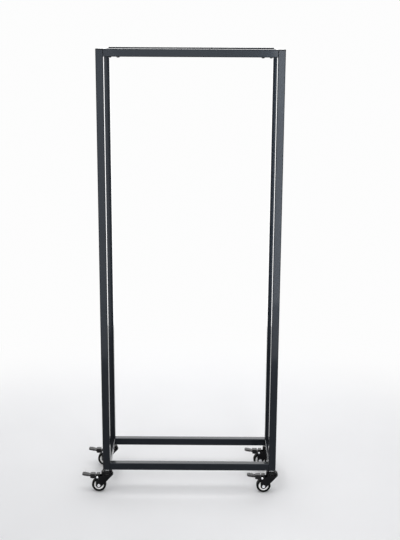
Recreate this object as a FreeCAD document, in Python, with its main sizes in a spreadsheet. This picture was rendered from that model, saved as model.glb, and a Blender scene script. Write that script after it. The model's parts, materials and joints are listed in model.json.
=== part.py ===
import FreeCAD, Part
import os
import re
import Sketcher
from FreeCAD import Placement, Rotation, Vector

# Log store: an open rack of square steel tube that rolls on four braked swivel castors.
# Frame: millimetres, +Z up, front towards -Y, origin on the floor below the rack's centre.

SIZES = (
    # Rack of square tube
    ("frame_width", 600, "outside, across the posts"),
    ("frame_depth", 240, "outside, front to back"),
    ("frame_height", 1515, "floor to the top of the rack"),
    ("tube_side", 25, "side of the square tube"),
    ("tube_wall", 1.5, "wall of the square tube"),
    ("tube_corner", 2.5, "outside corner radius of the tube"),
    # Plastic caps in the tops of the posts
    ("cap_flange", 3, "part of a cap that shows"),
    ("cap_plug", 14, "depth of a cap inside its post"),
    ("cap_wall", 2, "wall of the hollow plug"),
    ("plug_clearance", 0.1, "gap round anything pushed into a tube"),
    # Bolted joints between the posts and the long rails
    ("spigot_length", 65, "stub on a post that a rail slides over"),
    ("spigot_wall", 2, "wall of a stub"),
    ("spigot_clearance", 0.2, "gap between a stub and the rail"),
    ("screw_first", 20, "post to the nearer screw"),
    ("screw_second", 46, "post to the farther screw"),
    ("screw_head", 11, "diameter of a domed screw head"),
    ("screw_crown", 6.5, "diameter of the head's flat crown"),
    ("screw_head_height", 3, "height of a domed screw head"),
    # Castor fixing in the bottom of each post
    ("castor_height", 83, "floor to the bottom of a post"),
    ("insert_length", 24, "threaded plug in a post"),
    ("stem_diameter", 10, "threaded stem of a castor"),
    ("stem_reach", 21, "stem inside the plug"),
    ("nut_flats", 17, "stem nut across flats"),
    ("nut_height", 7, "height of the stem nut"),
    ("thread_clearance", 0.05, "gap that stands for a thread"),
    # Swivel head
    ("head_height", 10, "fork crown to the stem nut"),
    ("cup_radius", 20, "outside of the swivel cup"),
    ("cup_bevel", 1.5, "sloping upper edge of the cup"),
    ("bearing_height", 3.5, "ring of caged balls between crown and cup"),
    ("bearing_outer", 17, "outside of that ring"),
    ("bearing_inner", 9, "inside of that ring"),
    ("swivel_gap", 0.3, "axial gap in the swivel"),
    ("running_clearance", 0.05, "radial gap of a running fit"),
    ("kingpin_diameter", 8, "pin that the fork swivels on"),
    ("flange_radius", 9.5, "riveted flange below the crown"),
    ("flange_height", 3, "thickness of that flange"),
    # Pressed fork
    ("fork_sheet", 2, "thickness of the fork's sheet"),
    ("fork_gap", 21, "clear width between the legs"),
    ("crown_radius", 22, "round crown of the fork"),
    ("leg_front", 21, "swivel axis to the front of a leg"),
    ("leg_end", 10.25, "rounded end of a leg, about the axle"),
    ("leg_shoulder", 4.5, "leg above the brake pivot"),
    ("leg_edge", 0.5, "crown to the start of the raked edge"),
    ("trail", 28, "swivel axis to the axle"),
    # Wheel
    ("wheel_diameter", 50, "outside of the tyre"),
    ("tyre_width", 18, "width of the tyre"),
    ("tyre_shoulder", 2.5, "sloping shoulder of the tyre"),
    ("core_radius", 17.5, "outside of the wheel core"),
    ("core_width", 16, "width of the wheel core"),
    ("seat_clearance", 0.02, "tyre on its core"),
    ("bush_radius", 4.5, "tube that the wheel turns on"),
    # Axle
    ("axle_diameter", 6, "axle bolt"),
    ("axle_flats", 10, "axle bolt and nut across flats"),
    ("axle_head", 4, "height of the bolt head"),
    ("axle_nut_height", 5.5, "height of the axle nut"),
    ("axle_tail", 1.5, "bolt past its nut"),
    # Brake
    ("pivot_setback", 5, "axle to the brake pivot, along the trail"),
    ("pivot_gap", 4.5, "tyre to the level of the brake pivot"),
    ("pivot_diameter", 5, "brake rivet"),
    ("rivet_end", 1.2, "rivet past each leg"),
    ("pedal_rise", 10, "pedal above level when released, degrees"),
    ("lock_angle", 22, "pedal travel to the locked stop, degrees"),
    ("shoe_gap", 0.3, "brake shoe to the tyre when locked"),
    ("pedal_side_gap", 0.5, "pedal to a fork leg"),
    ("barrel_radius", 4.4, "pedal round its rivet"),
    ("pedal_thickness", 4.5, "plate of the pedal"),
    ("shoe_reach", 24, "pivot to the end of the brake shoe"),
    ("shoe_drop", 8, "pivot down to the uncut shoe"),
    ("pad_width", 24, "tread pad across"),
    ("pad_start", 29, "pivot to the tread pad"),
    ("pad_length", 25, "length of the tread pad"),
    ("pad_thickness", 5.5, "thickness of the tread pad"),
    ("pad_corner", 7, "rounded corners of the tread pad"),
    ("rib_width", 1.6, "groove between the tread ribs"),
    ("rib_depth", 1.1, "depth of those grooves"),
    ("rib_pitch", 3.6, "spacing of those grooves"),
    ("rib_start", 10, "start of the pad to its first groove"),
    ("tab_heel", 7.5, "pivot to the heel of the release tab"),
    ("tab_reach", 26, "pivot to the far end of the release tab"),
    ("tab_height", 12.3, "top of the heel above the pivot"),
    ("tab_width", 18, "release tab across"),
    ("tab_fall", 6, "slope of the release tab's top"),
    ("tab_slit", 2.2, "slit across the release tab"),
    ("tab_slit_place", 7, "pivot to the middle of that slit"),
    ("tab_slit_floor", 4.5, "floor of that slit above the pivot"),
)
RIB_COUNT = 4

# Each corner with its signs along X and Y
CORNERS = {
    "front_left": (-1, -1),
    "front_right": (1, -1),
    "rear_left": (-1, 1),
    "rear_right": (1, 1),
}

# Formulas that several pieces share
POST_X = "((frame_width - tube_side) / 2)"
POST_Y = "((frame_depth - tube_side) / 2)"
POST_LENGTH = "(frame_height - castor_height - cap_flange)"
RAIL_LENGTH = "(frame_width - 2 * tube_side)"
SIDE_LENGTH = "(frame_depth - 2 * tube_side)"
RAIL_Z = {"bottom": "(castor_height + tube_side / 2)", "top": "(frame_height - tube_side / 2)"}
TUBE_BORE = "(tube_side - 2 * tube_wall)"
SPIGOT_SIDE = "(tube_side - 2 * tube_wall - 2 * spigot_clearance)"
HEAD_TOP = "(castor_height - nut_height)"
CROWN_TOP = "(castor_height - nut_height - head_height)"
CROWN_BOTTOM = "(castor_height - nut_height - head_height - fork_sheet)"
BEARING_TOP = "(castor_height - nut_height - head_height + swivel_gap + bearing_height)"
FORK_WIDTH = "(fork_gap + 2 * fork_sheet)"
AXLE_X = "(-trail)"
AXLE_Z = "(wheel_diameter / 2)"
PIVOT_X = "(-trail - pivot_setback)"
PIVOT_Z = "(wheel_diameter + pivot_gap)"

# Sketch bookkeeping: the sketch's own axes and the ends of a line or arc
V_AXIS, H_AXIS = range(-2, 0)
START, END, CENTRE = range(1, 4)
ORIGIN = (H_AXIS, START)

# Difference below which two lengths count as equal
TINY = 1e-6

doc = FreeCAD.newDocument("log_store")
sheet = doc.addObject("Spreadsheet::Sheet", "Sizes")
NAMES = {alias for alias, number, note in SIZES}


def fill_sheet():
    """Write each driving size into the sheet under its own name."""
    for row, (alias, number, note) in enumerate(SIZES, start=1):
        sheet.set(f"A{row}", alias)
        sheet.set(f"B{row}", str(number))
        sheet.set(f"C{row}", note)
        sheet.setAlias(f"B{row}", alias)
    doc.recompute()


def formula(text):
    """Spell each size name in a formula as a cell of the sheet."""
    return re.sub(r"[a-z_]+", lambda word: "Sizes." + word[0] if word[0] in NAMES else word[0], text)


def value(text):
    """Present value of a formula."""
    return float(doc.getObject("Sizes").evalExpression(formula(text)))


def bind(item, path, text):
    """Tie one property of an object to a formula."""
    item.setExpression(path, formula(text))


def place(item, x="0", y="0", z="0"):
    """Tie an object's position to formulas."""
    for axis, text in (("x", x), ("y", y), ("z", z)):
        bind(item, "Placement.Base." + axis, text)


# Sketches


def new_body(label):
    body = doc.addObject("PartDesign::Body", label)
    body.Label = label
    return body


def new_sketch(body, name, role, offset=None):
    """Sketch on one of the body's own origin planes, moved along its normal if asked."""
    plane = next(feature for feature in body.Origin.OriginFeatures if feature.Role == role)
    sketch = body.newObject("Sketcher::SketchObject", name)
    sketch.AttachmentSupport = [(plane, "")]
    sketch.MapMode = "FlatFace"
    if offset:
        bind(sketch, "AttachmentOffset.Base.z", offset)
    return sketch


def dimension(sketch, constraint, text):
    """Add one dimension and tie it to a formula."""
    index = sketch.addConstraint(constraint)
    bind(sketch, f"Constraints[{index}]", text)


def fix_point(sketch, shape, vertex, x, y):
    """Fix a point of a sketch by its two coordinates."""
    for kind, axis_line, text in (("DistanceX", V_AXIS, x), ("DistanceY", H_AXIS, y)):
        if text == "0":
            sketch.addConstraint(Sketcher.Constraint("PointOnObject", shape, vertex, axis_line))
        else:
            dimension(sketch, Sketcher.Constraint(kind, *ORIGIN, shape, vertex, value(text)), text)


def outline(sketch, points):
    """Draw a closed loop of straight lines through points given as pairs of formulas."""
    corners = [Vector(value(x), value(y), 0) for x, y in points]
    first = sketch.GeometryCount
    for start, end in zip(corners, corners[1:] + corners[:1]):
        sketch.addGeometry(Part.LineSegment(start, end))
    for index, (x, y) in enumerate(points):
        following = first + (index + 1) % len(points)
        sketch.addConstraint(Sketcher.Constraint("Coincident", first + index, END, following, START))
        fix_point(sketch, first + index, START, x, y)


def square(sketch, side):
    """Draw a square about the sketch's origin."""
    low = f"-({side}) / 2"
    high = f"({side}) / 2"
    outline(sketch, ((low, low), (high, low), (high, high), (low, high)))


def circle(sketch, radius, x="0", y="0"):
    """Draw one circle."""
    centre = Vector(value(x), value(y), 0)
    shape = sketch.addGeometry(Part.Circle(centre, Vector(0, 0, 1), value(radius)))
    fix_point(sketch, shape, CENTRE, x, y)
    dimension(sketch, Sketcher.Constraint("Radius", shape, value(radius)), radius)


def hexagon(sketch, flats):
    """Draw a hexagon about the sketch's origin, with two flats facing sideways."""
    half = f"({flats}) / 2"
    tip = f"({flats}) / sqrt(3)"
    knee = f"({flats}) / sqrt(12)"
    outline(sketch, (
        (half, f"-{knee}"), (half, knee), ("0", tip),
        (f"-{half}", knee), (f"-{half}", f"-{knee}"), ("0", f"-{tip}"),
    ))


# Features


def pad(body, sketch, length, side="One side", reverse=False):
    """Push a sketch out into a solid."""
    feature = body.newObject("PartDesign::Pad", sketch.Name + "_pad")
    feature.Profile = sketch
    feature.SideType = side
    feature.Reversed = reverse
    bind(feature, "Length", length)
    sketch.Visibility = False
    return feature


def pocket(body, sketch, depth=None, side="One side", reverse=False):
    """Cut a sketch out of the body, right through unless a depth is given."""
    doc.recompute()
    before = body.Shape.Volume
    feature = body.newObject("PartDesign::Pocket", sketch.Name + "_cut")
    feature.Profile = sketch
    feature.SideType = side
    feature.Reversed = reverse
    if depth:
        bind(feature, "Length", depth)
    else:
        feature.Type = "ThroughAll"
        if side == "Two sides":
            feature.Type2 = "ThroughAll"
    doc.recompute()
    if body.Shape.Volume > before - TINY:
        raise RuntimeError(f"{sketch.Name} cuts nothing from {body.Label}")
    return feature


def revolve(body, name, role, axis, points):
    """Turn a closed outline about one axis of its sketch."""
    sketch = new_sketch(body, name, role)
    outline(sketch, points)
    feature = body.newObject("PartDesign::Revolution", name + "_turn")
    feature.Profile = sketch
    feature.ReferenceAxis = (sketch, [axis])
    feature.Angle = 360
    doc.recompute()
    return feature


def round_edges(body, radius, choose):
    """Fillet every edge of the body's last feature that the test picks."""
    doc.recompute()
    tip = body.Tip
    names = [f"Edge{index}" for index, edge in enumerate(tip.Shape.Edges, start=1) if choose(edge)]
    feature = body.newObject("PartDesign::Fillet", body.Name + "_round")
    feature.Base = (tip, names)
    bind(feature, "Radius", radius)
    doc.recompute()
    return feature


def is_line_along(edge, direction):
    """Whether an edge is a straight line along a direction."""
    return isinstance(edge.Curve, Part.Line) and edge.Curve.Direction.cross(direction).Length < TINY


def group(label, master, spots):
    """Repeat one piece at several placements, as separate solids of one node."""
    copies = []
    for index, (x, y, z, turn) in enumerate(spots, start=1):
        copy = doc.addObject("App::Link", f"{label}_{index}")
        copy.LinkedObject = master
        copy.Placement = Placement(Vector(), Rotation(Vector(0, 0, 1), turn))
        place(copy, x, y, z)
        copies.append(copy)
    node = doc.addObject("Part::Compound", label)
    node.Label = label
    node.Links = copies
    return node


def at_corners(z):
    """The same height at each of the four posts."""
    return [(f"{side} * {POST_X}", f"{end} * {POST_Y}", z, 0) for side, end in CORNERS.values()]


# Rack


def square_tube(label, length, role, direction):
    """Hollow tube, centred on its own middle."""
    body = new_body(label)
    section = new_sketch(body, label + "_section", role)
    square(section, "tube_side")
    pad(body, section, length, "Symmetric")
    round_edges(body, "tube_corner", lambda edge: is_line_along(edge, direction))
    bore = new_sketch(body, label + "_bore", role)
    square(bore, TUBE_BORE)
    pocket(body, bore, side="Two sides")
    return body


def make_post(corner, side, end):
    post = square_tube(corner + "_post", POST_LENGTH, "XY_Plane", Vector(0, 0, 1))
    place(post, f"{side} * {POST_X}", f"{end} * {POST_Y}", f"castor_height + {POST_LENGTH} / 2")
    return post


def make_side_rail(name, side, level):
    """Rail welded between a front and a rear post."""
    rail = square_tube(f"{name}_{level}_side_rail", SIDE_LENGTH, "XZ_Plane", Vector(0, 1, 0))
    place(rail, f"{side} * {POST_X}", "0", RAIL_Z[level])
    return rail


def make_long_rail(name, end, level):
    """Rail that slides over a stub on the post at each end and is screwed to it from below."""
    rail = square_tube(f"{level}_{name}_rail", RAIL_LENGTH, "YZ_Plane", Vector(1, 0, 0))
    place(rail, "0", f"{end} * {POST_Y}", RAIL_Z[level])
    return rail


def make_spigots():
    """Stubs welded to the posts, one inside each end of every long rail."""
    stub = new_body("spigot")
    section = new_sketch(stub, "spigot_section", "YZ_Plane")
    square(section, SPIGOT_SIDE)
    pad(stub, section, "spigot_length")
    bore = new_sketch(stub, "spigot_bore", "YZ_Plane")
    square(bore, f"{SPIGOT_SIDE} - 2 * spigot_wall")
    pocket(stub, bore, side="Two sides")
    spots = [
        (f"{side} * {RAIL_LENGTH} / 2", f"{end} * {POST_Y}", RAIL_Z[level], 90 * (1 + side))
        for level in RAIL_Z
        for side, end in CORNERS.values()
    ]
    return group("rail_spigots", stub, spots)


def make_rail_screws():
    """Domed heads of the screws, two below each end of every long rail."""
    screw = new_body("rail_screw")
    revolve(screw, "rail_screw_profile", "XZ_Plane", "V_Axis", (
        ("0", "-screw_head_height"),
        ("screw_crown / 2", "-screw_head_height"),
        ("screw_head / 2", "0"),
        ("0", "0"),
    ))
    spots = [
        (
            f"{side} * ({RAIL_LENGTH} / 2 - {distance})",
            f"{end} * {POST_Y}",
            f"{RAIL_Z[level]} - tube_side / 2",
            0,
        )
        for level in RAIL_Z
        for side, end in CORNERS.values()
        for distance in ("screw_first", "screw_second")
    ]
    return group("rail_screws", screw, spots)


def make_post_caps():
    """Plastic caps pushed into the open tops of the posts."""
    cap = new_body("post_cap")
    flange = new_sketch(cap, "cap_flange_outline", "XY_Plane")
    square(flange, "tube_side")
    pad(cap, flange, "cap_flange")
    round_edges(cap, "tube_corner", lambda edge: is_line_along(edge, Vector(0, 0, 1)))
    plug = new_sketch(cap, "cap_plug_outline", "XY_Plane")
    square(plug, f"{TUBE_BORE} - 2 * plug_clearance")
    pad(cap, plug, "cap_plug", reverse=True)
    hollow = new_sketch(cap, "cap_hollow", "XY_Plane")
    square(hollow, f"{TUBE_BORE} - 2 * plug_clearance - 2 * cap_wall")
    pocket(cap, hollow, "cap_plug")
    return group("post_caps", cap, at_corners("frame_height - cap_flange"))


# Castor fixing and swivel head, which stay with the rack


def make_castor_inserts():
    """Threaded plugs pushed into the open bottoms of the posts."""
    insert = new_body("castor_insert")
    section = new_sketch(insert, "insert_section", "XY_Plane")
    square(section, f"{TUBE_BORE} - 2 * plug_clearance")
    pad(insert, section, "insert_length")
    thread = new_sketch(insert, "insert_thread", "XY_Plane")
    circle(thread, "stem_diameter / 2 + thread_clearance")
    pocket(insert, thread, side="Two sides")
    return group("castor_inserts", insert, at_corners("castor_height"))


def make_castor_stems():
    """Threaded stem and kingpin in one, riveted to a flange below the crown."""
    stem = new_body("castor_stem")
    flange_top = f"({CROWN_BOTTOM} - swivel_gap)"
    revolve(stem, "stem_profile", "XZ_Plane", "V_Axis", (
        ("0", f"{flange_top} - flange_height"),
        ("flange_radius", f"{flange_top} - flange_height"),
        ("flange_radius", flange_top),
        ("kingpin_diameter / 2", flange_top),
        ("kingpin_diameter / 2", HEAD_TOP),
        ("stem_diameter / 2", HEAD_TOP),
        ("stem_diameter / 2", "castor_height + stem_reach"),
        ("0", "castor_height + stem_reach"),
    ))
    return group("castor_stems", stem, at_corners("0"))


def make_stem_nuts():
    """Plated nuts that lock the stems against the posts."""
    nut = new_body("stem_nut")
    section = new_sketch(nut, "stem_nut_section", "XY_Plane")
    hexagon(section, "nut_flats")
    circle(section, "stem_diameter / 2 + thread_clearance")
    pad(nut, section, "nut_height")
    return group("stem_nuts", nut, at_corners(HEAD_TOP))


def make_swivel_cups():
    """Pressed cups on the stems that bear on the rings of balls."""
    cup = new_body("swivel_cup")
    revolve(cup, "cup_profile", "XZ_Plane", "V_Axis", (
        ("kingpin_diameter / 2 + running_clearance", BEARING_TOP),
        ("cup_radius", BEARING_TOP),
        ("cup_radius", f"{HEAD_TOP} - cup_bevel"),
        ("cup_radius - cup_bevel", HEAD_TOP),
        ("kingpin_diameter / 2 + running_clearance", HEAD_TOP),
    ))
    return group("swivel_cups", cup, at_corners("0"))


def make_swivel_bearings():
    """Rings of caged balls between the crowns and the cups."""
    bearing = new_body("swivel_bearing")
    section = new_sketch(bearing, "bearing_section", "XY_Plane")
    circle(section, "bearing_outer")
    circle(section, "bearing_inner")
    pad(bearing, section, "bearing_height")
    return group("swivel_bearings", bearing, at_corners(f"{CROWN_TOP} + swivel_gap"))


# Castors: a fork is drawn about its swivel axis, wheel pieces about the axle, brake pieces about the rivet


def leg_profile(sketch):
    """Side of a fork leg: round end about the axle, upright back, sloping shoulder and raked front."""
    end_radius = value("leg_end")
    axle = Vector(value(AXLE_X), value(AXLE_Z), 0)
    back_x = axle.x - end_radius
    top = value(CROWN_TOP)
    front_x = value("leg_front")
    corners = (
        Vector(back_x, axle.y, 0),
        Vector(back_x, value(f"{PIVOT_Z} + leg_shoulder"), 0),
        Vector(-value("leg_front"), top, 0),
        Vector(front_x, top, 0),
        Vector(front_x, value(f"{CROWN_BOTTOM} - leg_edge"), 0),
        axle + Vector(1, -1, 0).normalize() * end_radius,
    )
    for start, end in zip(corners[:-1], corners[1:]):
        sketch.addGeometry(Part.LineSegment(start, end))
    bottom = axle - Vector(0, end_radius, 0)
    sketch.addGeometry(Part.Arc(corners[0], bottom, corners[-1]))
    back, shoulder, crown, front, rake, arc = range(6)
    for before, after in ((back, shoulder), (shoulder, crown), (crown, front), (front, rake)):
        sketch.addConstraint(Sketcher.Constraint("Coincident", before, END, after, START))
    sketch.addConstraint(Sketcher.Constraint("Tangent", arc, START, back, START))
    sketch.addConstraint(Sketcher.Constraint("Tangent", arc, END, rake, END))
    sketch.addConstraint(Sketcher.Constraint("Vertical", back))
    fix_point(sketch, arc, CENTRE, AXLE_X, AXLE_Z)
    dimension(sketch, Sketcher.Constraint("Radius", arc, end_radius), "leg_end")
    shoulder_z = f"{PIVOT_Z} + leg_shoulder"
    dimension(sketch, Sketcher.Constraint("DistanceY", *ORIGIN, back, END, value(shoulder_z)), shoulder_z)
    fix_point(sketch, crown, START, "-leg_front", CROWN_TOP)
    fix_point(sketch, front, START, "leg_front", CROWN_TOP)
    fix_point(sketch, rake, START, "leg_front", f"{CROWN_BOTTOM} - leg_edge")


def make_fork(label):
    """Pressed fork: two legs under a round crown that turns on the kingpin."""
    fork = new_body(label)
    legs = new_sketch(fork, label + "_legs", "XZ_Plane")
    leg_profile(legs)
    pad(fork, legs, FORK_WIDTH, "Symmetric")
    gap = new_sketch(fork, label + "_gap", "XZ_Plane")
    back = f"{AXLE_X} - 2 * leg_end"
    outline(gap, (
        (back, "0"), ("2 * leg_front", "0"), ("2 * leg_front", CROWN_BOTTOM), ("-leg_front", CROWN_BOTTOM),
        ("-leg_front", f"{PIVOT_Z} + {CROWN_TOP}"), (back, f"{PIVOT_Z} + {CROWN_TOP}"),
    ))
    pocket(fork, gap, "fork_gap", "Symmetric")
    crown = new_sketch(fork, label + "_crown", "XY_Plane", CROWN_BOTTOM)
    circle(crown, "crown_radius")
    pad(fork, crown, "fork_sheet")
    kingpin = new_sketch(fork, label + "_kingpin", "XY_Plane")
    circle(kingpin, "kingpin_diameter / 2 + running_clearance")
    pocket(fork, kingpin, side="Two sides")
    pins = new_sketch(fork, label + "_pins", "XZ_Plane")
    circle(pins, "axle_diameter / 2 + running_clearance", AXLE_X, AXLE_Z)
    circle(pins, "pivot_diameter / 2 + running_clearance", PIVOT_X, PIVOT_Z)
    pocket(fork, pins, side="Two sides")
    return fork


def make_wheel_core(label):
    """Moulded disc that turns on the bush."""
    core = new_body(label)
    section = new_sketch(core, label + "_section", "XZ_Plane")
    circle(section, "core_radius")
    circle(section, "bush_radius + running_clearance")
    pad(core, section, "core_width", "Symmetric")
    return core


def make_tyre(label):
    """Tread ring with sloping shoulders."""
    tyre = new_body(label)
    half = (
        ("tyre_width / 2", "core_radius + seat_clearance"),
        ("tyre_width / 2", "wheel_diameter / 2 - tyre_shoulder"),
        ("tyre_width / 2 - tyre_shoulder", "wheel_diameter / 2"),
    )
    mirrored = tuple((f"-({across})", radius) for across, radius in reversed(half))
    revolve(tyre, label + "_profile", "YZ_Plane", "H_Axis", half + mirrored)
    return tyre


def make_axle_bush(label):
    """Steel tube clamped between the legs, on which the wheel turns."""
    bush = new_body(label)
    section = new_sketch(bush, label + "_section", "XZ_Plane")
    circle(section, "bush_radius")
    circle(section, "axle_diameter / 2 + running_clearance")
    pad(bush, section, "fork_gap", "Symmetric")
    return bush


def make_axle_bolt(label):
    """Hexagon bolt through both legs, with its head at the front."""
    bolt = new_body(label)
    head = new_sketch(bolt, label + "_head", "XZ_Plane", f"{FORK_WIDTH} / 2")
    hexagon(head, "axle_flats")
    pad(bolt, head, "axle_head")
    shank = new_sketch(bolt, label + "_shank", "XZ_Plane", f"{FORK_WIDTH} / 2")
    circle(shank, "axle_diameter / 2")
    pad(bolt, shank, f"{FORK_WIDTH} + axle_nut_height + axle_tail", reverse=True)
    return bolt


def make_axle_nut(label):
    """Hexagon nut on the axle bolt, at the back."""
    nut = new_body(label)
    section = new_sketch(nut, label + "_section", "XZ_Plane", f"-{FORK_WIDTH} / 2")
    hexagon(section, "axle_flats")
    circle(section, "axle_diameter / 2 + thread_clearance")
    pad(nut, section, "axle_nut_height", reverse=True)
    return nut


def make_brake_rivet(label):
    """Rivet through both legs that the pedal turns on."""
    rivet = new_body(label)
    section = new_sketch(rivet, label + "_section", "XZ_Plane")
    circle(section, "pivot_diameter / 2")
    pad(rivet, section, f"{FORK_WIDTH} + 2 * rivet_end", "Symmetric")
    return rivet


def make_brake_pedal(label):
    """Foot pedal with a ribbed tread pad, a release tab and a shoe that meets the tyre when locked."""
    pedal = new_body(label)
    neck = "fork_gap - 2 * pedal_side_gap"
    barrel = new_sketch(pedal, label + "_barrel", "XZ_Plane")
    circle(barrel, "barrel_radius")
    pad(pedal, barrel, neck, "Symmetric")
    plate = new_sketch(pedal, label + "_plate", "XZ_Plane")
    outline(plate, (
        ("0", "pedal_thickness / 2"),
        ("-pad_start - pad_corner", "pedal_thickness / 2"),
        ("-pad_start - pad_corner", "-pedal_thickness / 2"),
        ("-shoe_reach", "-pedal_thickness / 2"),
        ("-shoe_reach", "-shoe_drop"),
        ("0", "-shoe_drop"),
    ))
    pad(pedal, plate, neck, "Symmetric")
    locked_tyre(pedal, label)
    tread_pad(pedal, label)
    release_tab(pedal, label)
    bore = new_sketch(pedal, label + "_bore", "XZ_Plane")
    circle(bore, "pivot_diameter / 2 + running_clearance")
    pocket(pedal, bore, side="Two sides")
    pedal.Placement = Placement(Vector(), Rotation(Vector(0, 1, 0), value("pedal_rise")))
    bind(pedal, "Placement.Rotation.Angle", "pedal_rise * 1deg")
    return pedal


def locked_tyre(pedal, label):
    """Hollow the shoe to the tyre as it lies when the pedal is pressed down."""
    turn = "((pedal_rise - lock_angle) * 1deg)"
    down = f"({AXLE_Z} - {PIVOT_Z})"
    shoe = new_sketch(pedal, label + "_shoe", "XZ_Plane")
    circle(
        shoe, "wheel_diameter / 2 + shoe_gap",
        f"pivot_setback * cos{turn} - {down} * sin{turn}",
        f"pivot_setback * sin{turn} + {down} * cos{turn}",
    )
    pocket(pedal, shoe, side="Two sides")


def tread_pad(pedal, label):
    """Wide end of the pedal, rounded in plan and ribbed across."""
    tread = new_sketch(pedal, label + "_pad", "XY_Plane", "-pedal_thickness / 2")
    end = "-pad_start - pad_length"
    outline(tread, (
        ("-pad_start", "-pad_width / 2"), ("-pad_start", "pad_width / 2"),
        (end, "pad_width / 2"), (end, "-pad_width / 2"),
    ))
    pad(pedal, tread, "pad_thickness")
    side = value("pad_width / 2")
    round_edges(pedal, "pad_corner", lambda edge: is_line_along(edge, Vector(0, 0, 1))
                and abs(edge.CenterOfMass.y) > side - TINY)
    groove = new_sketch(pedal, label + "_rib", "XY_Plane", "pad_thickness - pedal_thickness / 2")
    for index in range(RIB_COUNT):
        near = f"-pad_start - rib_start - {index} * rib_pitch"
        far = f"{near} - rib_width"
        outline(groove, ((near, "-pad_width"), (near, "pad_width"), (far, "pad_width"), (far, "-pad_width")))
    pocket(pedal, groove, "rib_depth")


def release_tab(pedal, label):
    """Raised tab over the pivot, pushed at its heel to let the brake off, with a slit across it."""
    tab = new_sketch(pedal, label + "_tab", "XZ_Plane")
    outline(tab, (
        ("tab_heel", "0"), ("tab_heel", "tab_height"),
        ("-tab_reach", "tab_height - tab_fall"), ("-tab_reach", "0"),
    ))
    pad(pedal, tab, "tab_width", "Symmetric")
    slit = new_sketch(pedal, label + "_slit", "XZ_Plane")
    near = "-tab_slit_place + tab_slit / 2"
    far = "-tab_slit_place - tab_slit / 2"
    outline(slit, (
        (near, "tab_slit_floor"), (near, "2 * tab_height"), (far, "2 * tab_height"), (far, "tab_slit_floor"),
    ))
    pocket(pedal, slit, side="Two sides")


def make_castor(corner, side, end):
    """Moving pieces of one castor, below its post."""
    pieces = []
    for x, z, makers in (
        ("0", "0", {"fork": make_fork}),
        (AXLE_X, AXLE_Z, {
            "axle_bolt": make_axle_bolt,
            "axle_nut": make_axle_nut,
            "axle_bush": make_axle_bush,
            "wheel_core": make_wheel_core,
            "tyre": make_tyre,
        }),
        (PIVOT_X, PIVOT_Z, {"brake_rivet": make_brake_rivet, "brake_pedal": make_brake_pedal}),
    ):
        for name, maker in makers.items():
            piece = maker(f"{corner}_{name}")
            place(piece, f"{side} * {POST_X} + {x}", f"{end} * {POST_Y}", z)
            pieces.append(piece)
    return pieces


# Whole object


def make_rack():
    nodes = [make_post(corner, side, end) for corner, (side, end) in CORNERS.items()]
    for level in RAIL_Z:
        for name, side in (("left", -1), ("right", 1)):
            nodes.append(make_side_rail(name, side, level))
        for name, end in (("front", -1), ("rear", 1)):
            nodes.append(make_long_rail(name, end, level))
    nodes += [make_spigots(), make_rail_screws(), make_post_caps()]
    nodes += [make_castor_inserts(), make_castor_stems(), make_stem_nuts()]
    nodes += [make_swivel_cups(), make_swivel_bearings()]
    return nodes


def check(nodes):
    """Stop if any object failed or any node has no sound shape."""
    for item in doc.Objects:
        if "Invalid" in item.State or "Error" in item.State:
            raise RuntimeError(f"{item.Label} failed: {item.State}")
    for node in nodes:
        if node.Shape.isNull() or not node.Shape.isValid():
            raise RuntimeError(f"{node.Label} has no sound shape")


def main():
    fill_sheet()
    nodes = make_rack()
    for corner, (side, end) in CORNERS.items():
        nodes += make_castor(corner, side, end)
    doc.recompute()
    check(nodes)
    os.makedirs("parts", exist_ok=True)
    for node in nodes:
        node.Shape.exportStep(f"parts/{node.Label}.step")


main()
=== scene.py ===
import json
import math
import bpy
from mathutils import Matrix, Vector


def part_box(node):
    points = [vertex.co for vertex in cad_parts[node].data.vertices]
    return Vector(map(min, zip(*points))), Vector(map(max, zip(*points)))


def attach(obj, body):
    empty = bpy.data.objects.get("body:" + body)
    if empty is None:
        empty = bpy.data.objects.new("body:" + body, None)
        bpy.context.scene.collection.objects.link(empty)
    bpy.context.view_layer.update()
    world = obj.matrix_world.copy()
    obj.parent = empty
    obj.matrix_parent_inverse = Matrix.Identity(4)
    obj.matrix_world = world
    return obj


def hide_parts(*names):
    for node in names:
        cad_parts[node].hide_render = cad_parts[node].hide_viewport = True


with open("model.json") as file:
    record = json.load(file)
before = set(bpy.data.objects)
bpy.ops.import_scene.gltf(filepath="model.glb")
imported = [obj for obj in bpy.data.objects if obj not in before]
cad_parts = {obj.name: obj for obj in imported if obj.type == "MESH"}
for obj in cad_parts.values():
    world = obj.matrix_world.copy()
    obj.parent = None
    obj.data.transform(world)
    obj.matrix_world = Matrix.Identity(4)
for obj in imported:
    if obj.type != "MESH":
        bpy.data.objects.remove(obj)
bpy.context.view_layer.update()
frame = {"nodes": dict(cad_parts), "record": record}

CORNERS = ("front_left", "front_right", "rear_left", "rear_right")

# Lens: image height and focal length in pixels, sensor height in millimetres
IMAGE_HEIGHT = 540
FOCAL_PIXELS = 1013.6
SENSOR_HEIGHT = 36

# Camera: place in metres, angles in degrees
CAMERA_PLACE = (0.0387, -3.3751, 1.6025)
CAMERA_YAW = 0.092
CAMERA_PITCH = 13.833
CAMERA_ROLL = 0.317

# One millimetre in metres
MM = 0.001

# Sizes that several pieces share, in millimetres
FORK_WIDTH = 25.0
FORK_SHEET = 2.0
CROWN_RACE = 17.2
AXLE_FLATS = 10.0
AXLE_NUT_HEIGHT = 5.5
PEDAL_NECK = 20.0
PEDAL_HALF = 2.25
PEDAL_SOCKET = 4.2

# Screws from the ends of a long rail, in millimetres
SCREW_PLACES = (20.0, 46.0)

# Rise of a released pedal and least angle of a sharp edge, in degrees
PEDAL_RISE = 10.0
SHARP_ANGLE = 32.0

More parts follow.
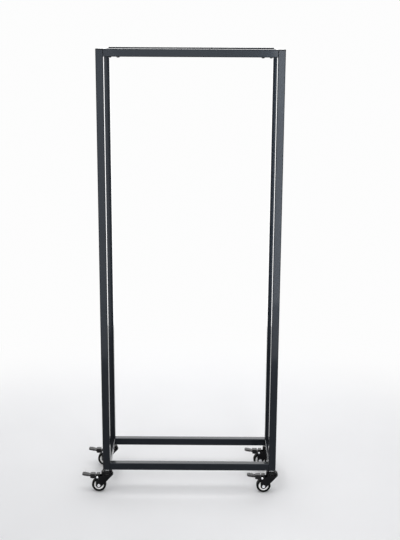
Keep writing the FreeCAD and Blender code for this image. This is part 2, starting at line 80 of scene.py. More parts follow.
# Studio: lengths in metres, light as strengths
FLOOR_RADIUS = 40.0
FLOOR_DARK = (0.81, 0.81, 0.82)
FLOOR_LIGHT = (0.83, 0.83, 0.84)
FADE_START = 0.8
FADE_END = 1.75
BACKGROUND_WHITE = 0.98
WHITE = (1.0, 1.0, 1.0, 1.0)
WORLD_LIGHT = 0.24
WORLD_COLOUR = (0.95, 0.97, 1.0, 1.0)

# Points round a full turn
ROUND_STEPS = 64
HEX_STEPS = 72
SMALL_STEPS = 24

# Range that most of a noise lies in, and how rough the noise itself is
NOISE_LOW = 0.3
NOISE_HIGH = 0.7
NOISE_ROUGHNESS = 0.55

# Turns what is drawn upwards so that it runs forwards
FORWARDS = Matrix.Rotation(math.pi / 2, 4, "X")


# Materials


class Shader:
    """A node material with its principled shader and short ways to add nodes."""

    def __init__(self, name):
        self.material = bpy.data.materials.new(name)
        self.material.use_nodes = True
        self.tree = self.material.node_tree
        self.principled = self.tree.nodes["Principled BSDF"]
        self.place = self.node("ShaderNodeTexCoord").outputs["Object"]

    def node(self, kind, **settings):
        """A new node with its settings."""
        item = self.tree.nodes.new(kind)
        for key, setting in settings.items():
            setattr(item, key, setting)
        return item

    def link(self, output, target):
        self.tree.links.new(output, target)

    def set(self, socket, number):
        """A plain value on one of the shader's own sockets."""
        self.principled.inputs[socket].default_value = number

    def noise(self, scale, detail=4.0):
        """Noise in the object's own space, in lumps per metre."""
        texture = self.node("ShaderNodeTexNoise")
        texture.inputs["Scale"].default_value = scale
        texture.inputs["Detail"].default_value = detail
        texture.inputs["Roughness"].default_value = NOISE_ROUGHNESS
        self.link(self.place, texture.inputs["Vector"])
        return texture.outputs["Fac"]

    def tones(self, scale, dark, light):
        """Colour that drifts between two tones."""
        ramp = self.node("ShaderNodeValToRGB")
        first, last = ramp.color_ramp.elements
        first.position = NOISE_LOW
        first.color = (*dark, 1.0)
        last.position = NOISE_HIGH
        last.color = (*light, 1.0)
        self.link(self.noise(scale), ramp.inputs["Fac"])
        self.link(ramp.outputs["Color"], self.principled.inputs["Base Color"])

    def rough(self, scale, low, high):
        """Roughness that drifts between two values."""
        stretch = self.node("ShaderNodeMapRange")
        stretch.inputs["From Min"].default_value = NOISE_LOW
        stretch.inputs["From Max"].default_value = NOISE_HIGH
        stretch.inputs["To Min"].default_value = low
        stretch.inputs["To Max"].default_value = high
        self.link(self.noise(scale), stretch.inputs["Value"])
        self.link(stretch.outputs["Result"], self.principled.inputs["Roughness"])

    def relief(self, scale, distance, strength, detail=4.0):
        """Fine bumps over a distance in metres."""
        bump = self.node("ShaderNodeBump")
        bump.inputs["Strength"].default_value = strength
        bump.inputs["Distance"].default_value = distance
        self.link(self.noise(scale, detail), bump.inputs["Height"])
        self.link(bump.outputs["Normal"], self.principled.inputs["Normal"])


def powder_coat():
    """Black powder coat with a bluish sheen, smooth enough to shine at a low angle."""
    shader = Shader("powder_coat")
    shader.set("Specular IOR Level", 0.095)
    shader.set("Specular Tint", (0.48, 0.69, 1.0, 1.0))
    shader.set("Coat Weight", 0.6)
    shader.set("Coat IOR", 1.22)
    shader.set("Coat Roughness", 0.08)
    shader.tones(7.0, dark=(0.009, 0.010, 0.012), light=(0.012, 0.013, 0.015))
    shader.rough(900.0, low=0.20, high=0.26)
    shader.relief(900.0, distance=0.0002, strength=0.015, detail=2.0)
    return shader.material


def gloss_black():
    """Black stove enamel on the pressed steel of the castors."""
    shader = Shader("gloss_black")
    shader.set("Specular IOR Level", 0.1)
    shader.tones(90.0, dark=(0.003, 0.003, 0.004), light=(0.005, 0.005, 0.006))
    shader.rough(220.0, low=0.1, high=0.2)
    shader.relief(500.0, distance=0.0002, strength=0.08, detail=2.0)
    return shader.material


def moulded_black(name, specular, low, high):
    """Black moulded plastic between two roughnesses."""
    shader = Shader(name)
    shader.set("Specular IOR Level", specular)
    shader.tones(140.0, dark=(0.003, 0.003, 0.004), light=(0.006, 0.006, 0.007))
    shader.rough(300.0, low, high)
    shader.relief(2200.0, distance=0.0002, strength=0.2, detail=3.0)
    return shader.material


def zinc_plate():
    """Bright zinc plating with a faint cloudy bloom."""
    shader = Shader("zinc_plate")
    shader.set("Metallic", 1.0)
    shader.tones(260.0, dark=(0.72, 0.73, 0.75), light=(0.88, 0.89, 0.91))
    shader.rough(420.0, low=0.16, high=0.3)
    shader.relief(1500.0, distance=0.0001, strength=0.15, detail=2.0)
    return shader.material


def black_zinc():
    """Dark passivated steel of the screws."""
    shader = Shader("black_zinc")
    shader.set("Metallic", 0.6)
    shader.tones(300.0, dark=(0.016, 0.017, 0.020), light=(0.028, 0.029, 0.033))
    shader.rough(500.0, low=0.28, high=0.42)
    return shader.material


def greased_steel():
    """Bearing steel with grease."""
    shader = Shader("greased_steel")
    shader.set("Metallic", 1.0)
    shader.tones(200.0, dark=(0.16, 0.15, 0.14), light=(0.38, 0.37, 0.36))
    shader.rough(350.0, low=0.18, high=0.4)
    return shader.material


def tyre_rubber():
    """Matt black tread rubber."""
    shader = Shader("tyre_rubber")
    shader.set("Specular IOR Level", 0.08)
    shader.tones(120.0, dark=(0.003, 0.003, 0.003), light=(0.006, 0.006, 0.006))
    shader.rough(260.0, low=0.45, high=0.65)
    shader.relief(1800.0, distance=0.0002, strength=0.35)
    return shader.material


def pale_core():
    """White moulded wheel core."""
    shader = Shader("pale_core")
    shader.tones(110.0, dark=(0.84, 0.84, 0.83), light=(0.90, 0.90, 0.89))
    shader.rough(240.0, low=0.28, high=0.42)
    shader.relief(1400.0, distance=0.0001, strength=0.2)
    return shader.material


MATERIALS = {
    "frame_paint": powder_coat(),
    "screw_black": black_zinc(),
    "cap_plastic": moulded_black("cap_plastic", specular=0.25, low=0.4, high=0.55),
    "insert_plastic": moulded_black("insert_plastic", specular=0.3, low=0.5, high=0.65),
    "zinc": zinc_plate(),
    "castor_black": gloss_black(),
    "bearing_steel": greased_steel(),
    "core_plastic": pale_core(),
    "tyre_rubber": tyre_rubber(),
    "pedal_plastic": moulded_black("pedal_plastic", specular=0.2, low=0.1, high=0.2),
}


def paint_nodes():
    """Give each node of the frame its slot's material."""
    for entry in frame["record"]["subparts"]:
        node = frame["nodes"][entry["node"]]
        node.data.materials.clear()
        node.data.materials.append(MATERIALS[entry["material_slot"]])


# Forms, drawn in millimetres


class Form:
    """Points and faces of a mesh, gathered loop by loop."""

    def __init__(self):
        self.points = []
        self.faces = []

    def loop(self, points):
        """Add one loop of points and give their numbers."""
        first = len(self.points)
        self.points += [Vector(point) for point in points]
        return range(first, len(self.points))

    def skin(self, loops, closed=False):
        """Join loops of equal count into a wall, closed on itself or capped at both ends."""
        rows = [self.loop(points) for points in loops]
        pairs = list(zip(rows, rows[1:]))
        if closed:
            pairs.append((rows[-1], rows[0]))
        else:
            self.faces.append(tuple(reversed(rows[0])))
            self.faces.append(tuple(rows[-1]))
        for lower, upper in pairs:
            for index in range(len(lower)):
                after = (index + 1) % len(lower)
                self.faces.append((lower[index], lower[after], upper[after], upper[index]))
        return self

    def stamp(self, other, matrix):
        """Add a copy of another form at a placement."""
        first = len(self.points)
        self.points += [matrix @ point for point in other.points]
        self.faces += [tuple(first + index for index in face) for face in other.faces]


def circle_loop(radius, z, steps=ROUND_STEPS):
    """A circle about Z."""
    turns = [2 * math.pi * step / steps for step in range(steps)]
    return [(radius * math.cos(turn), radius * math.sin(turn), z) for turn in turns]


def hexagon_loop(flats, z, limit, steps=HEX_STEPS):
    """A hexagon whose corners are cut back to a radius."""
    points = []
    for step in range(steps):
        turn = 2 * math.pi * step / steps
        from_flat = (turn + math.pi / 6) % (math.pi / 3) - math.pi / 6
        radius = min(flats / 2 / math.cos(from_flat), limit)
        points.append((radius * math.cos(turn), radius * math.sin(turn), z))
    return points


def square_loop(side, corner, z, steps=6):
    """A square with rounded corners."""
    centre = side / 2 - corner
    points = []
    for quarter, (sign_x, sign_y) in enumerate(((1, 1), (-1, 1), (-1, -1), (1, -1))):
        for step in range(steps + 1):
            turn = math.pi / 2 * (quarter + step / steps)
            x = sign_x * centre + corner * math.cos(turn)
            y = sign_y * centre + corner * math.sin(turn)
            points.append((x, y, z))
    return points


def turned(profile, closed=False, steps=ROUND_STEPS):
    """Turn a profile of radius and height about Z."""
    return Form().skin([circle_loop(radius, z, steps) for radius, z in profile], closed)


def arc(centre_r, centre_z, radius, start, end, steps=6):
    """Points of a profile along an arc, between two angles in degrees."""
    points = []
    for step in range(steps + 1):
        turn = math.radians(start + (end - start) * step / steps)
        points.append((centre_r + radius * math.cos(turn), centre_z + radius * math.sin(turn)))
    return points


def mirrored(half):
    """A closed profile from its upper half, which is given from the outside inwards."""
    return [(radius, -z) for radius, z in reversed(half)] + half


def rounded_corner(before, corner, after, radius, steps=6):
    """Points of an arc that rounds a corner."""
    corner = Vector(corner)
    first = (Vector(before) - corner).normalized()
    second = (Vector(after) - corner).normalized()
    half = first.angle(second) / 2
    centre = corner + (first + second).normalized() * radius / math.sin(half)
    start = corner + first * radius / math.tan(half) - centre
    end = corner + second * radius / math.tan(half) - centre
    return [tuple(centre + start.slerp(end, step / steps) * radius) for step in range(steps + 1)]


def rounded_run(start, corners, end):
    """Points between a start and an end, past corners of two places and a radius each."""
    places = [start] + [corner[:2] for corner in corners] + [end]
    points = []
    for before, (x, y, radius), after in zip(places, corners, places[2:]):
        points += rounded_corner(before, (x, y), after, radius)
    return points


def rounded_outline(corners):
    """Closed outline past corners of two places and a radius each."""
    return rounded_run(corners[-1][:2], corners, corners[0][:2])


def inset(outline, depth):
    """An outline that runs anticlockwise, drawn in by a small depth."""
    points = []
    for index, point in enumerate(outline):
        before = Vector(outline[index - 1])
        after = Vector(outline[(index + 1) % len(outline)])
        along = (Vector(point) - before).normalized() + (after - Vector(point)).normalized()
        inwards = Vector((-along.y, along.x)).normalized()
        points.append(Vector(point) + inwards * depth)
    return points


def plate(outline, thickness, edge):
    """Sheet that stands on nought, with rounded edges."""
    steps = 3
    levels = []
    for step in range(steps + 1):
        turn = math.pi / 2 * step / steps
        levels.append((edge * (1 - math.sin(turn)), edge * (1 - math.cos(turn))))
    levels += [(depth, thickness - z) for depth, z in reversed(levels)]
    return Form().skin([[(x, y, z) for x, y in inset(outline, depth)] for depth, z in levels])


# Small fasteners


def button_head():
    """Domed screw head with a hexagon socket."""
    radius = 5.5
    height = 3.0
    flat = 2.9
    socket = 4.0
    socket_floor = 1.3
    dome_steps = 8
    steep = math.acos(flat / radius)
    loops = []
    for step in range(dome_steps + 1):
        turn = steep * step / dome_steps
        z = height * math.sin(turn) / math.sin(steep)
        loops.append(circle_loop(radius * math.cos(turn), z, SMALL_STEPS))
    for z in (height, socket_floor):
        loops.append(hexagon_loop(socket, z, radius, SMALL_STEPS))
    return Form().skin(loops)


def hexagon_levels(flats, height, cut_below):
    """Loops of a hexagon prism whose corners are chamfered on top, and below where asked."""
    face_share = 0.965
    chamfer_angle = 30.0
    steps = 4
    corner = flats / math.sqrt(3)
    face = face_share * flats / 2
    depth = (corner - face) * math.tan(math.radians(chamfer_angle))
    loops = []
    for step in range(steps + 1):
        share = step / steps
        limit = face + (corner - face) * share if cut_below else corner
        loops.append(hexagon_loop(flats, depth * share, limit))
    for step in range(steps + 1):
        share = 1 - step / steps
        limit = face + (corner - face) * share
        loops.append(hexagon_loop(flats, height - depth * share, limit))
    return loops


def hexagon_nut(flats, height, bore):
    """Nut chamfered at both ends, with a countersunk bore."""
    sink = 0.6
    loops = hexagon_levels(flats, height, cut_below=True)
    for radius, z in ((bore + sink, height), (bore, height - sink), (bore, sink), (bore + sink, 0.0)):
        loops.append(circle_loop(radius, z, HEX_STEPS))
    return Form().skin(loops, closed=True)


def axle_bolt():
    """Hexagon bolt: head from its seat upwards, shank below, dished face and chamfered tip."""
    head = 4.0
    shank = 3.0
    tip = -32.0
    dish = 3.9
    dish_depth = 0.35
    chamfer = 0.6
    loops = hexagon_levels(AXLE_FLATS, head, cut_below=False)
    loops.append(circle_loop(dish, head, HEX_STEPS))
    loops.append(circle_loop(dish - dish_depth, head - dish_depth, HEX_STEPS))
    form = Form().skin(loops)
    shank_profile = ((shank - chamfer, tip), (shank, tip + chamfer), (shank, 0.0))
    form.skin([circle_loop(radius, z, SMALL_STEPS) for radius, z in shank_profile])
    return form


def domed_rivet():
    """Pin with a domed head at each end."""
    pin = 2.5
    head = 3.9
    rise = 1.2
    dome_turn = math.radians(80.0)
    dome_steps = 6
    seat = FORK_WIDTH / 2
    upper = []
    for step in range(dome_steps + 1):
        turn = dome_turn * step / dome_steps
        upper.append((head * math.cos(turn), seat + rise * math.sin(turn)))
    lower = [(radius, -z) for radius, z in reversed(upper)]
    shank = [(pin, -seat), (pin, seat)]
    return turned(lower + shank + upper, steps=SMALL_STEPS)


# Forks


def leg_outline(axle, crown):
    """Side of a leg: round end about the axle, raked front, saddle behind the crown and brake lug."""
    end = 10.25
    front = Vector((18.1, 60.8))
    front_bend = 15.5
    step_back = -16.5
    saddle = 57.0
    saddle_back = -27.5
    lug_front = -30.0
    lug_top = 59.5
    front_radius = 0.7
    crown_radius = 0.9
    lug_radius = 3.0
    back = axle.x - end
    to_axle = axle - front
    rake = math.atan2(to_axle.y, to_axle.x) + math.asin(end / to_axle.length)
    # The round end goes from the back to a right angle from the rake, one turn on
    back_angle = 180.0
    rake_angle = math.degrees(rake) + 90.0 + 360.0
    points = arc(axle.x, axle.y, end, back_angle, rake_angle, steps=16)
    corners = (
        (front.x, front.y, front_radius),
        (front_bend, crown, crown_radius),
        (step_back, crown, crown_radius),
        (step_back, saddle, lug_radius),
        (saddle_back, saddle, lug_radius),
        (lug_front, lug_top, lug_radius),
        (back, lug_top, lug_radius),
    )
    return points + rounded_run(points[-1], corners, (back, axle.y))


def crown_loop(radius, z):
    """Ring of the crown, which is drawn in at the rear outside the race of the balls."""
    full_pull_radius = 22.0
    rear_pull = 2.0
    outside = max(0.0, (radius - CROWN_RACE) / (full_pull_radius - CROWN_RACE))
    points = []
    for step in range(ROUND_STEPS):
        turn = 2 * math.pi * step / ROUND_STEPS
        drawn = radius - rear_pull * outside * (1 - math.cos(turn)) / 2
        points.append((drawn * math.cos(turn), drawn * math.sin(turn), z))
    return points


def pressed_crown():
    """Crown with a skirt and a rounded lip about the balls, from the under side of its sheet."""
    bore = 4.1
    reach = 21.9
    skirt = 3.5
    lip = 2.2
    shoulder = 1.6
    edge = 0.5
    top = FORK_SHEET + lip
    inside = reach - FORK_SHEET
    profile = [(inside + edge, -skirt), (reach - edge, -skirt), (reach, edge - skirt)]
    profile += arc(reach - shoulder, top - shoulder, shoulder, 0.0, 90.0)
    profile += arc(CROWN_RACE + lip, FORK_SHEET, lip, 90.0, 180.0)
    profile += [(bore, FORK_SHEET), (bore, 0.0)]
    profile += arc(inside - shoulder, -shoulder, shoulder, 90.0, 0.0)
    profile.append((inside, edge - skirt))
    return Form().skin([crown_loop(radius, z) for radius, z in profile], closed=True)


def pressed_fork(axle, crown_top):
    """Two legs whose tops are sunk in the crown."""
    sunk = 1.0
    leg_edge = 0.45
    crown_bottom = crown_top - FORK_SHEET
    leg = plate(leg_outline(axle, crown_bottom + sunk), FORK_SHEET, leg_edge)
    form = Form()
    for y in (FORK_SHEET - FORK_WIDTH / 2, FORK_WIDTH / 2):
        form.stamp(leg, Matrix.Translation((0.0, y, 0.0)) @ FORWARDS)
    form.stamp(pressed_crown(), Matrix.Translation((0.0, 0.0, crown_bottom)))
    return form


# Brake pedals, drawn level about the rivet


def add_across(form, outline, width, edge):
    """Add a profile of length and height to a form, with half of its width on either side."""
    form.stamp(plate(outline, width, edge), Matrix.Translation((0.0, width / 2, 0.0)) @ FORWARDS)


def add_shoe(form):
    """Arm of the pedal and the shoe below it, hollowed to the tyre as it lies when the pedal is down."""
    arm_start = -3.9
    arm_end = -36.0
    arm_radius = 0.8
    shoe_reach = -24.0
    shoe_drop = -8.0
    shoe_radius = 1.2
    inner_radius = 1.5
    tyre_x = -1.24
    tyre_z = -29.9
    tyre_radius = 25.3
    hollow_end = 97.0
    socket_start = 215.0
    socket_end = 175.0
    edge = 0.6
    hollow_x = tyre_x - math.sqrt(tyre_radius ** 2 - (shoe_drop - tyre_z) ** 2)
    hollow_start = math.degrees(math.acos((hollow_x - tyre_x) / tyre_radius))
    corners = (
        (arm_start, PEDAL_HALF, arm_radius),
        (arm_end, PEDAL_HALF, arm_radius),
        (arm_end, -PEDAL_HALF, arm_radius),
        (shoe_reach, -PEDAL_HALF, inner_radius),
        (shoe_reach, shoe_drop, shoe_radius),
    )
    points = arc(0.0, 0.0, PEDAL_SOCKET, socket_start, socket_end, steps=8)
    points += rounded_run(points[-1], corners, (hollow_x, shoe_drop))
    points += arc(tyre_x, tyre_z, tyre_radius, hollow_start, hollow_end, steps=10)
    add_across(form, points, PEDAL_NECK, edge)


def add_barrel(form):
    """Barrel of the pedal about the rivet."""
    bore = 2.6
    outer = 4.4
    edge = 0.4
    profile = (
        (outer - edge, 0.0),
        (outer, edge),
        (outer, PEDAL_NECK - edge),
        (outer - edge, PEDAL_NECK),
        (bore, PEDAL_NECK),
        (bore, 0.0),
    )
    form.stamp(turned(profile, closed=True), Matrix.Translation((0.0, PEDAL_NECK / 2, 0.0)) @ FORWARDS)


def add_release_tab(form):
    """Sloping tab above the barrel, cut across by a slit."""
    heel = 7.5
    toe = -26.0
    height = 12.3
    fall = 6.0
    width = 18.0
    slit = -7.0
    slit_half = 1.7
    slit_floor = 3.4
    foot_radius = 1.0
    heel_radius = 1.4
    toe_radius = 1.6
    lip_radius = 0.9
    floor_radius = 0.7
    edge = 0.8
    slope = fall / (heel - toe)
    front = slit + slit_half
    back = slit - slit_half
    points = rounded_outline((
        (heel, 0.0, foot_radius),
        (heel, height, heel_radius),
        (front, height - (heel - front) * slope, lip_radius),
        (front, slit_floor, floor_radius),
        (back, slit_floor, floor_radius),
        (back, height - (heel - back) * slope, lip_radius),
        (toe, height - fall, toe_radius),
        (toe, 0.0, foot_radius),
    ))
    points += arc(0.0, 0.0, PEDAL_SOCKET, 180.0, 0.0, steps=14)
    add_across(form, points, width, edge)


def add_rib(form, x, pad_top, length):
    """Rib across the tread pad, sunk a little in it."""
    base = 2.3
    crest = 1.1
    height = 1.1
    sunk = 0.6
    base_radius = 0.35
    crest_radius = 0.5
    edge = 0.3
    outline = rounded_outline((
        (x + base, pad_top - sunk, base_radius),
        (x + crest, pad_top + height, crest_radius),
        (x - crest, pad_top + height, crest_radius),
        (x - base, pad_top - sunk, base_radius),
    ))
    add_across(form, outline, length, edge)


def add_tread_pad(form):
    """Rounded pad with raised ribs across it, the outer ones shorter."""
    start = -29.0
    end = -54.0
    half_width = 12.0
    corner = 7.0
    top = 2.15
    edge = 1.1
    rib_pitch = 5.2
    rib_lengths = (18.0, 21.0, 21.0, 18.0)
    plan = rounded_outline((
        (end, -half_width, corner),
        (start, -half_width, corner),
        (start, half_width, corner),
        (end, half_width, corner),
    ))
    form.stamp(plate(plan, top + PEDAL_HALF, edge), Matrix.Translation((0.0, 0.0, -PEDAL_HALF)))
    first_rib = (start + end - (len(rib_lengths) - 1) * rib_pitch) / 2
    for index, length in enumerate(rib_lengths):
        add_rib(form, first_rib + index * rib_pitch, top, length)


def moulded_pedal():
    """Foot pedal of one moulding."""
    form = Form()
    add_shoe(form)
    add_barrel(form)
    add_release_tab(form)
    add_tread_pad(form)
    return form


# Wheels and swivel heads


def rounded_tyre():
    """Tread with rounded shoulders, a fine mould line and a stepped side wall."""
    bore = 17.52
    outer = 25.0
    tread = 24.88
    half_width = 9.0
    shoulder = 2.9
    line_width = 0.5
    step_outer = 20.6
    step_inner = 20.2
    step_depth = 0.45
    lip = 16.9
    lip_edge = 0.4
    lip_drop = 0.2
    lip_seat = 8.05
    side = half_width - step_depth
    half = [(outer, 0.0), (outer, line_width / 2), (tread, line_width)]
    half += arc(tread - shoulder, half_width - shoulder, shoulder, 0.0, 90.0, steps=8)
    half += [(step_outer, half_width), (step_inner, side), (lip + lip_edge, side)]
    half += [(lip, side - lip_drop), (lip, lip_seat), (bore, lip_seat)]
    return turned(mirrored(half), closed=True)


def wheel_core():
    """Moulded core with a rim, a sunken web and a hub."""
    rim = 17.5
    rim_inside = 15.4
    rim_foot = 14.2
    web_outer = 13.4
    web_inner = 9.2
    hub_foot = 8.2
    hub = 7.0
    bore = 4.55
    half_width = 8.0
    web = 6.6
    edge = 0.5
    slant = 0.6
    half = [(rim, half_width - edge), (rim - edge, half_width), (rim_inside, half_width)]
    half += [(rim_inside - slant, half_width - edge), (rim_foot, web + edge), (web_outer, web)]
    half += [(web_inner, web), (hub_foot, web + edge), (hub + slant, half_width - edge)]
    half += [(hub, half_width), (bore + edge, half_width), (bore, half_width - edge)]
    return turned(mirrored(half), closed=True)


def swivel_cup():
    """Pressed cup with a rounded shoulder and a sunken middle."""
    bore = 4.05
    radius = 19.8
    height = 6.2
    shoulder = 4.2
    edge = 0.5
    dish = 12.6
    dish_slant = 0.8
    dish_depth = 0.5
    floor = height - dish_depth
    profile = [(radius - edge, 0.0), (radius, edge)]
    profile += arc(radius - shoulder, height - shoulder, shoulder, 0.0, 90.0, steps=8)
    profile += [(dish, height), (dish - dish_slant, floor), (bore, floor), (bore, 0.0)]
    return turned(profile, closed=True)


def ball_ring():
    """Balls of the swivel in their cage."""
    balls = 20
    ring = 14.9
    radius = 1.65
    pole = 84.0
    ball_steps = 16
    middle = 1.75
    cage_inner = 13.3
    cage_outer = 16.4
    cage_half = 0.45
    form = Form()
    ball = turned(arc(0.0, 0.0, radius, -pole, pole, steps=8), steps=ball_steps)
    for index in range(balls):
        turn = 2 * math.pi * index / balls
        form.stamp(ball, Matrix.Translation((ring * math.cos(turn), ring * math.sin(turn), middle)))
    cage = (
        (cage_outer, middle - cage_half),
        (cage_outer, middle + cage_half),
        (cage_inner, middle + cage_half),
        (cage_inner, middle - cage_half),
    )
    form.stamp(turned(cage, closed=True), Matrix())
    return form


def post_cap():
    """Hollow plug below a flange with a softly crowned top."""
    plug = 21.8
    plug_corner = 0.6
    plug_end = -14.0
    hollow = 17.8
    hollow_corner = 0.4
    hollow_roof = -0.5
    flange = 25.0
    flange_corner = 2.5
    flange_edge = 1.6
    # Sides and heights of the crown, from the flange inwards
    crown = ((24.8, 2.15), (24.2, 2.6), (23.2, 2.85), (20.0, 2.95), (10.0, 3.0))
    loops = [square_loop(hollow, hollow_corner, z) for z in (hollow_roof, plug_end)]
    loops += [square_loop(plug, plug_corner, z) for z in (plug_end, 0.0)]
    loops += [square_loop(flange, flange_corner, z) for z in (0.0, flange_edge)]
    loops += [square_loop(side, flange_corner, z) for side, z in crown]
    return Form().skin(loops)


# Pieces in their places


def add_piece(name, form, slot, body, *nodes):
    """Put a form in metres into the scene, on a body, in the place of its nodes."""
    mesh = bpy.data.meshes.new(name)
    mesh.from_pydata([point * MM for point in form.points], [], form.faces)
    mesh.materials.append(MATERIALS[slot])
    for face in mesh.polygons:
        face.use_smooth = True
    mesh.set_sharp_from_angle(angle=math.radians(SHARP_ANGLE))
    item = bpy.data.objects.new(name, mesh)
    bpy.context.collection.objects.link(item)
    flat_faces = item.modifiers.new("flat_faces", "WEIGHTED_NORMAL")
    flat_faces.keep_sharp = True
    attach(item, body)
    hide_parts(*nodes)


def joint_place(name):
    """A joint's place in millimetres."""
    joint = next(joint for joint in frame["record"]["behaviour"]["joints"] if joint["name"] == name)
    return Vector(joint["pos_m"]) / MM


def box_of(node):
    """Lowest and highest corner of a node in millimetres."""
    low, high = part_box(node)
    return Vector(low) / MM, Vector(high) / MM


def add_rail_screws():
    """Two screws from below at each end of every long rail."""
    screw = button_head()
    flip = Matrix.Rotation(math.pi, 4, "X")
    screws = Form()
    for level in ("bottom", "top"):
        for end in ("front", "rear"):
            low, high = box_of(f"{level}_{end}_rail")
            y = (low.y + high.y) / 2
            for distance in SCREW_PLACES:
                for x in (low.x + distance, high.x - distance):
                    screws.stamp(screw, Matrix.Translation((x, y, low.z)) @ flip)
    add_piece("rail_screw_heads", screws, "screw_black", "frame", "rail_screws")


def add_post_caps():
    """Cap in the top of each post."""
    cap = post_cap()
    caps = Form()
    for corner in CORNERS:
        low, high = box_of(corner + "_post")
        caps.stamp(cap, Matrix.Translation(((low.x + high.x) / 2, (low.y + high.y) / 2, high.z)))
    add_piece("moulded_post_caps", caps, "cap_plastic", "frame", "post_caps")


def add_swivel_heads():
    """Nut, cup and ball ring above each fork."""
    nut = hexagon_nut(flats=17.0, height=7.0, bore=5.05)
    for name, form, slot, node in (
        ("chamfered_stem_nuts", nut, "zinc", "stem_nuts"),
        ("pressed_swivel_cups", swivel_cup(), "castor_black", "swivel_cups"),
        ("caged_swivel_balls", ball_ring(), "bearing_steel", "swivel_bearings"),
    ):
        bottom = box_of(node)[0].z
        copies = Form()
        for corner in CORNERS:
            axis = joint_place(corner + "_swivel")
            copies.stamp(form, Matrix.Translation((axis.x, axis.y, bottom)))
        add_piece(name, copies, slot, "frame", node)


def add_forks():
    """Fork of each castor, drawn about its swivel axis."""
    for corner in CORNERS:
        swivel = joint_place(corner + "_swivel")
        axle = joint_place(corner + "_roll")
        crown_top = box_of(corner + "_fork")[1].z
        form = pressed_fork(Vector((axle.x - swivel.x, axle.z)), crown_top)
        fork = Form()
        fork.stamp(form, Matrix.Translation((swivel.x, swivel.y, 0.0)))
        add_piece(corner + "_pressed_fork", fork, "castor_black", corner + "_castor", corner + "_fork")


def add_pedals():
    """Brake pedal of each castor, raised as it stands when released."""
    form = moulded_pedal()
    rise = Matrix.Rotation(math.radians(PEDAL_RISE), 4, "Y")
    for corner in CORNERS:
        pivot = joint_place(corner + "_brake_press")
        pedal = Form()
        pedal.stamp(form, Matrix.Translation(pivot) @ rise)
        brake = corner + "_brake"
        add_piece(corner + "_moulded_pedal", pedal, "pedal_plastic", brake, brake + "_pedal")


def add_at_axis(name, form, slot, body, node, place):
    """Put a form that is drawn about Z on an axis that runs from the rear to the front."""
    copy = Form()
    copy.stamp(form, Matrix.Translation(place) @ FORWARDS)
    add_piece(name, copy, slot, body, node)


def add_wheels():
    """Tyre, core, axle fasteners and brake rivet of each castor."""
    tyre = rounded_tyre()
    core = wheel_core()
    bolt = axle_bolt()
    nut = hexagon_nut(flats=AXLE_FLATS, height=AXLE_NUT_HEIGHT, bore=3.05)
    rivet = domed_rivet()
    to_front = Vector((0.0, -FORK_WIDTH / 2, 0.0))
    to_rear = Vector((0.0, FORK_WIDTH / 2 + AXLE_NUT_HEIGHT, 0.0))
    for corner in CORNERS:
        axle = joint_place(corner + "_roll")
        pivot = joint_place(corner + "_brake_press")
        castor = corner + "_castor"
        wheel = corner + "_wheel"
        add_at_axis(corner + "_moulded_tyre", tyre, "tyre_rubber", wheel, corner + "_tyre", axle)
        add_at_axis(corner + "_moulded_core", core, "core_plastic", wheel, corner + "_wheel_core", axle)
        add_at_axis(corner + "_hexagon_bolt", bolt, "zinc", castor, corner + "_axle_bolt", axle + to_front)
        add_at_axis(corner + "_hexagon_nut", nut, "zinc", castor, corner + "_axle_nut", axle + to_rear)
        add_at_axis(corner + "_domed_rivet", rivet, "zinc", castor, corner + "_brake_rivet", pivot)


def soften(item):
    """Round the sharp edges of a solid that keeps its own mesh, with lengths in metres."""
    weld = item.modifiers.new("weld", "WELD")
    weld.merge_threshold = 0.00001
    flat = item.modifiers.new("flat", "DECIMATE")
    flat.decimate_type = "DISSOLVE"
    flat.angle_limit = math.radians(0.5)
    bevel = item.modifiers.new("bevel", "BEVEL")
    bevel.width = 0.0005
    bevel.segments = 3
    bevel.limit_method = "ANGLE"
    bevel.angle_limit = math.radians(35.0)
    bevel.harden_normals = True
    normals = item.modifiers.new("normals", "WEIGHTED_NORMAL")
    normals.keep_sharp = True


def soften_tubes():
    """Round the cut ends of the tubes."""
    for name, node in frame["nodes"].items():
        if name.endswith(("_post", "_rail")):
            soften(node)


# Studio


def seen_directly(tree):
    """One for rays that show the surroundings themselves, nought for rays that light the object."""
    path = tree.nodes.new("ShaderNodeLightPath")
    seen = path.outputs["Is Camera Ray"]
    for ray in ("Is Glossy Ray", "Is Transmission Ray"):
        either = tree.nodes.new("ShaderNodeMath")
        either.operation = "MAXIMUM"
        tree.links.new(seen, either.inputs[0])
        tree.links.new(path.outputs[ray], either.inputs[1])
        seen = either.outputs["Value"]
    return seen


def floor_paper():
    """Pale floor that keeps the shadow and fades to white away from the object."""
    shader = Shader("floor_paper")
    shader.tones(1.5, dark=FLOOR_DARK, light=FLOOR_LIGHT)
    shader.rough(4.0, low=0.75, high=0.85)
    distance = shader.node("ShaderNodeVectorMath", operation="LENGTH")
    shader.link(shader.place, distance.inputs[0])
    fade = shader.node("ShaderNodeMapRange", interpolation_type="SMOOTHSTEP")
    fade.inputs["From Min"].default_value = FADE_START
    fade.inputs["From Max"].default_value = FADE_END
    shader.link(distance.outputs["Value"], fade.inputs["Value"])
    share = shader.node("ShaderNodeMath", operation="MULTIPLY")
    shader.link(fade.outputs["Result"], share.inputs[0])
    shader.link(seen_directly(shader.tree), share.inputs[1])
    white = shader.node("ShaderNodeEmission")
    white.inputs["Strength"].default_value = BACKGROUND_WHITE
    blend = shader.node("ShaderNodeMixShader")
    shader.link(share.outputs["Value"], blend.inputs["Fac"])
    shader.link(shader.principled.outputs["BSDF"], blend.inputs[1])
    shader.link(white.outputs["Emission"], blend.inputs[2])
    shader.link(blend.outputs["Shader"], shader.tree.nodes["Material Output"].inputs["Surface"])
    return shader.material


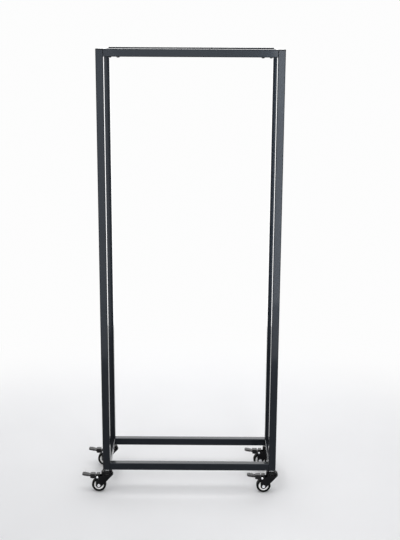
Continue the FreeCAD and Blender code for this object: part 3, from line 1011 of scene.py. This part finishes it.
def make_floor():
    """Flat round floor below the object."""
    mesh = bpy.data.meshes.new("floor")
    points = [Vector(point) for point in circle_loop(FLOOR_RADIUS, 0.0)]
    mesh.from_pydata(points, [], [tuple(range(len(points)))])
    mesh.materials.append(floor_paper())
    floor = bpy.data.objects.new("floor", mesh)
    bpy.context.collection.objects.link(floor)


def make_world():
    """Dim even light from all round, shown as white."""
    world = bpy.data.worlds.new("studio")
    world.use_nodes = True
    tree = world.node_tree
    light = tree.nodes["Background"]
    light.inputs["Color"].default_value = WORLD_COLOUR
    light.inputs["Strength"].default_value = WORLD_LIGHT
    white = tree.nodes.new("ShaderNodeBackground")
    white.inputs["Color"].default_value = WHITE
    white.inputs["Strength"].default_value = BACKGROUND_WHITE
    blend = tree.nodes.new("ShaderNodeMixShader")
    tree.links.new(seen_directly(tree), blend.inputs["Fac"])
    tree.links.new(light.outputs["Background"], blend.inputs[1])
    tree.links.new(white.outputs["Background"], blend.inputs[2])
    tree.links.new(blend.outputs["Shader"], tree.nodes["World Output"].inputs["Surface"])
    bpy.context.scene.world = world


def make_lamp(name, place, target, width, height, power, spread=180.0):
    """Soft box pointed from its place to a target, with its light fanned out over an angle."""
    lamp = bpy.data.lights.new(name, "AREA")
    lamp.shape = "RECTANGLE"
    lamp.size = width
    lamp.size_y = height
    lamp.energy = power
    lamp.spread = math.radians(spread)
    item = bpy.data.objects.new(name, lamp)
    bpy.context.collection.objects.link(item)
    item.visible_camera = False
    item.location = place
    direction = Vector(target) - Vector(place)
    item.rotation_euler = direction.to_track_quat("-Z", "Y").to_euler()


def make_strip(side, x, upper_glow, lower_glow):
    """Tall strip of light beside the camera in two lengths, with a glow for each square metre."""
    y = -1.5
    width = 0.3
    bottom = 0.02
    split = 0.30
    top = 1.55
    for part, low, high, glow in (("upper", split, top, upper_glow), ("lower", bottom, split, lower_glow)):
        z = (low + high) / 2
        height = high - low
        power = glow * width * height
        make_lamp(f"{side}_{part}", (x, y, z), (x, 0.0, z), width, height, power, spread=100.0)


def make_lights():
    """Soft boxes above, in front and behind, and a strip at either side of the camera."""
    make_lamp("key", place=(0.0, -0.3, 2.9), target=(0.0, 0.0, 0.9), width=2.6, height=2.2, power=48.0)
    make_lamp("front", place=(0.0, -3.6, 1.4), target=(0.0, 0.0, 1.4), width=1.1, height=0.7, power=10.0)
    make_lamp("back", place=(0.0, 1.8, 1.46), target=(0.0, 0.0, 1.46), width=3.6, height=2.88, power=45.0)
    make_strip("left", x=-0.51, upper_glow=3.7, lower_glow=3.3)
    make_strip("right", x=0.51, upper_glow=10.6, lower_glow=4.6)


def make_camera():
    """Camera at the photograph's angle."""
    camera = bpy.data.cameras.new("camera")
    camera.sensor_fit = "VERTICAL"
    camera.sensor_height = SENSOR_HEIGHT
    camera.lens = FOCAL_PIXELS * SENSOR_HEIGHT / IMAGE_HEIGHT
    item = bpy.data.objects.new("camera", camera)
    bpy.context.collection.objects.link(item)
    turn = Matrix.Rotation(math.radians(CAMERA_YAW), 4, "Z")
    tilt = Matrix.Rotation(math.radians(90.0 - CAMERA_PITCH), 4, "X")
    roll = Matrix.Rotation(math.radians(CAMERA_ROLL), 4, "Z")
    item.matrix_world = Matrix.Translation(CAMERA_PLACE) @ turn @ tilt @ roll
    bpy.context.scene.camera = item


paint_nodes()
add_rail_screws()
add_post_caps()
add_swivel_heads()
add_forks()
add_pedals()
add_wheels()
soften_tubes()
make_floor()
make_world()
make_lights()
make_camera()
bpy.context.scene.view_settings.view_transform = "Standard"
